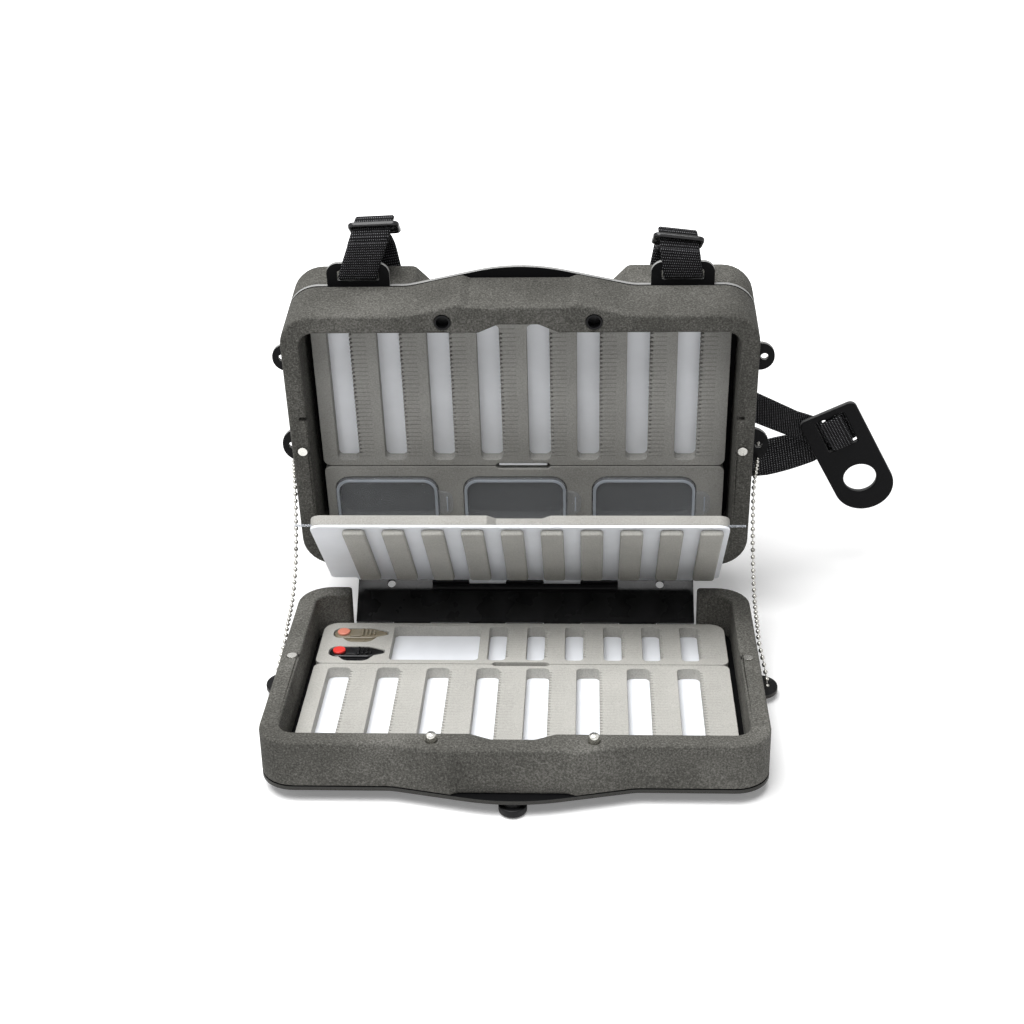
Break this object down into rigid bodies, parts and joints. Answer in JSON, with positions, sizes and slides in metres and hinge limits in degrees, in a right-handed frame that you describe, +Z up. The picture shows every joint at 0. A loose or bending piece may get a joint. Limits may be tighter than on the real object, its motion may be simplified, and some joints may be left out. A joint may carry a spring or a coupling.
{
  "type": "fly box",
  "caption": "Open book-style chest fly box: foam-walled tray and lid on a hinged spine, slit foam inserts, a hinged page, clear covered cups, bead chains and a webbing harness.",
  "frame": {"origin": "on the floor under the middle of the tray, in the left-right symmetry plane of the case", "axes": "+X to the right of a viewer in front of the tray, +Y away from the viewer towards the lid, +Z up"},
  "size_m": [0.3399, 0.2383, 0.2277],
  "materials": {
    "shell_foam": "matte",
    "insert_foam": "matte",
    "riser_foam": "matte",
    "white_plastic": "satin",
    "black_plastic": "satin",
    "olive_plastic": "gloss",
    "red_dot": "gloss",
    "orange_dot": "gloss",
    "clear_plastic": "gloss",
    "nickel": "polished",
    "chain_metal": "polished",
    "pin_steel": "satin",
    "webbing": "matte"
  },
  "bodies": {
    "tray": {"tray_plate": "black_plastic", "tray_shell": "shell_foam", "tray_magnets": "nickel", "closure_post_left": "nickel", "closure_post_right": "nickel", "tray_knob": "black_plastic", "tray_large_backing": "white_plastic", "tray_large_foam": "insert_foam", "tray_small_backing": "white_plastic", "tray_small_foam": "insert_foam", "front_threader": "black_plastic", "front_threader_dot": "red_dot", "rear_threader": "olive_plastic", "rear_threader_dot": "orange_dot", "lower_hinge_pin": "pin_steel", "bead_chain_left": "chain_metal", "bead_chain_right": "chain_metal"},
    "spine": {"spine_plate": "black_plastic", "page_hinge_bar": "black_plastic", "page_hinge_pin": "pin_steel", "upper_hinge_pin": "pin_steel"},
    "page": {"page_plate": "white_plastic", "page_back_foam": "riser_foam", "page_rod": "clear_plastic", "page_strips": "insert_foam"},
    "lid": {"closure_socket_left": "black_plastic", "closure_socket_right": "black_plastic", "cup_cover_left": "clear_plastic", "cup_cover_middle": "clear_plastic", "cup_cover_right": "clear_plastic", "cup_left": "clear_plastic", "cup_middle": "clear_plastic", "cup_right": "clear_plastic", "lid_large_backing": "white_plastic", "lid_large_foam": "insert_foam", "lid_large_riser": "riser_foam", "lid_magnets": "nickel", "lid_plate": "black_plastic", "lid_shell": "shell_foam", "lid_small_foam": "insert_foam", "lid_small_riser": "riser_foam", "pull_tab": "black_plastic", "rear_pad": "shell_foam", "slider_left": "black_plastic", "slider_right": "black_plastic", "strap_loop_left": "webbing", "strap_loop_right": "webbing", "strap_run_left": "webbing", "strap_run_right": "webbing", "strap_side": "webbing"}
  },
  "joints": [
    {"name": "spine_hinge", "type": "hinge", "parent": "tray", "child": "spine", "pos_m": [0, 0.07719, 0.0024], "axis": [1, 0, 0], "range_deg": [0, 50], "deforming": ["bead_chain_left", "bead_chain_right"]},
    {"name": "lid_hinge", "type": "hinge", "parent": "spine", "child": "lid", "pos_m": [0, 0.12318, 0.03823], "axis": [1, 0, 0], "range_deg": [0, 30]},
    {"name": "page_hinge", "type": "hinge", "parent": "spine", "child": "page", "pos_m": [0, 0.09322, 0.02275], "axis": [1, 0, 0], "range_deg": [-5, 0]}
  ],
  "couplings": [
    {"joint": "lid_hinge", "follows": "spine_hinge", "ratio": 0.6},
    {"joint": "page_hinge", "follows": "spine_hinge", "ratio": -0.1}
  ]
}
